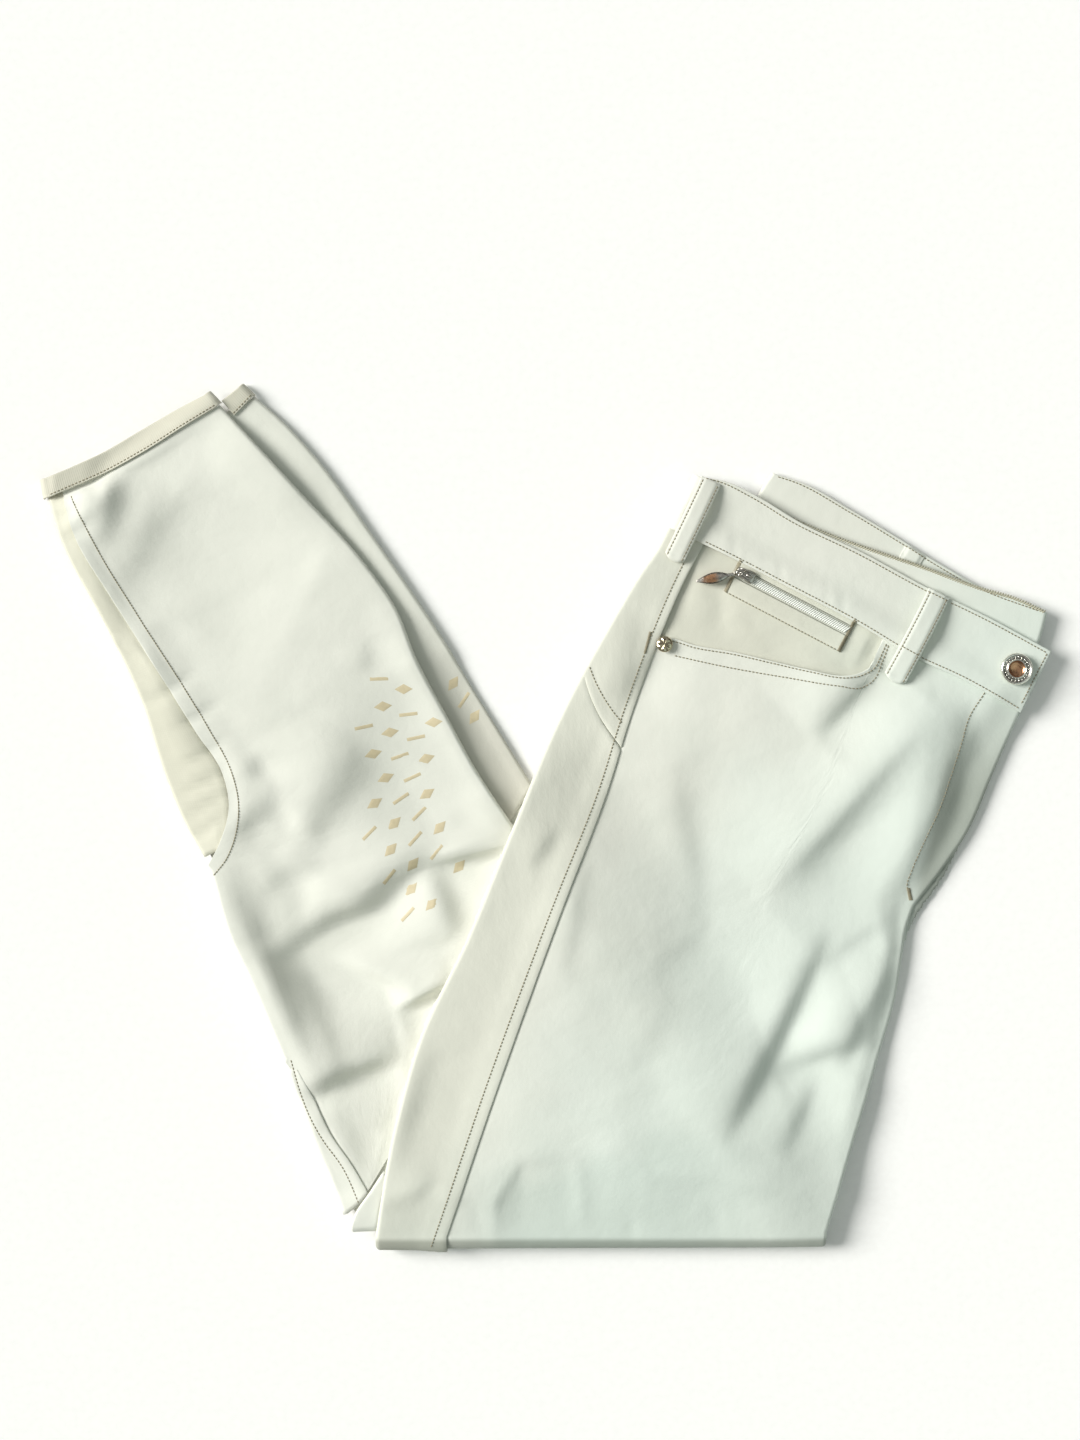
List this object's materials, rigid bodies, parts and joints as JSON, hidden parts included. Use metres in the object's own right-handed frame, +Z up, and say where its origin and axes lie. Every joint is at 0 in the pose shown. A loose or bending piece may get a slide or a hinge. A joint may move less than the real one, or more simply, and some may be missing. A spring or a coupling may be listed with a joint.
{
  "type": "riding breeches",
  "caption": "Riding breeches folded along the centre seams and at the knee, lying flat, with buttoned waistband, belt loops, zipped hip pocket, stretch calf inserts and elastic hem bands.",
  "frame": {"origin": "centre of the bounding box in plan, on the surface that the breeches lie on", "axes": "+X towards the thighs' open side and the button, +Y towards the hems and the waist, +Z up"},
  "size_m": [0.5726, 0.493, 0.0231],
  "materials": {
    "cloth": "matt off-white softshell jersey",
    "stretch_cloth": "thin matt cream stretch cloth",
    "elastic": "brushed ribbed elastic",
    "tape": "woven zip tape",
    "nickel": "warm nickel plating"
  },
  "bodies": {
    "breeches": {"hidden_layers": "cloth", "right_front_leg": "cloth", "right_back_thigh": "cloth", "right_back_yoke": "cloth", "hip_facing": "cloth", "left_front_leg": "cloth", "left_calf_insert": "stretch_cloth", "left_back_calf": "cloth", "left_back_thigh": "cloth", "right_back_calf": "cloth", "left_hem_band": "elastic", "right_hem_band": "elastic", "waistband_right_front": "cloth", "waistband_right_back": "cloth", "waistband_left_back": "cloth", "belt_loop_side": "cloth", "belt_loop_front": "cloth", "belt_loop_back": "cloth", "zip_tape": "tape", "zip_welt_upper": "cloth", "zip_welt_lower": "cloth", "zip_slider": "nickel", "pocket_rivet": "nickel", "waist_button": "nickel"},
    "zip_pull_tab": {"zip_pull": "nickel"}
  },
  "joints": [
    {"name": "zip_pull_hinge", "type": "hinge", "parent": "breeches", "child": "zip_pull_tab", "pos_m": [0.11132, 0.1393, 0.01381], "axis": [-0.184, 0.9829, 0], "range_deg": [0, 165]}
  ]
}
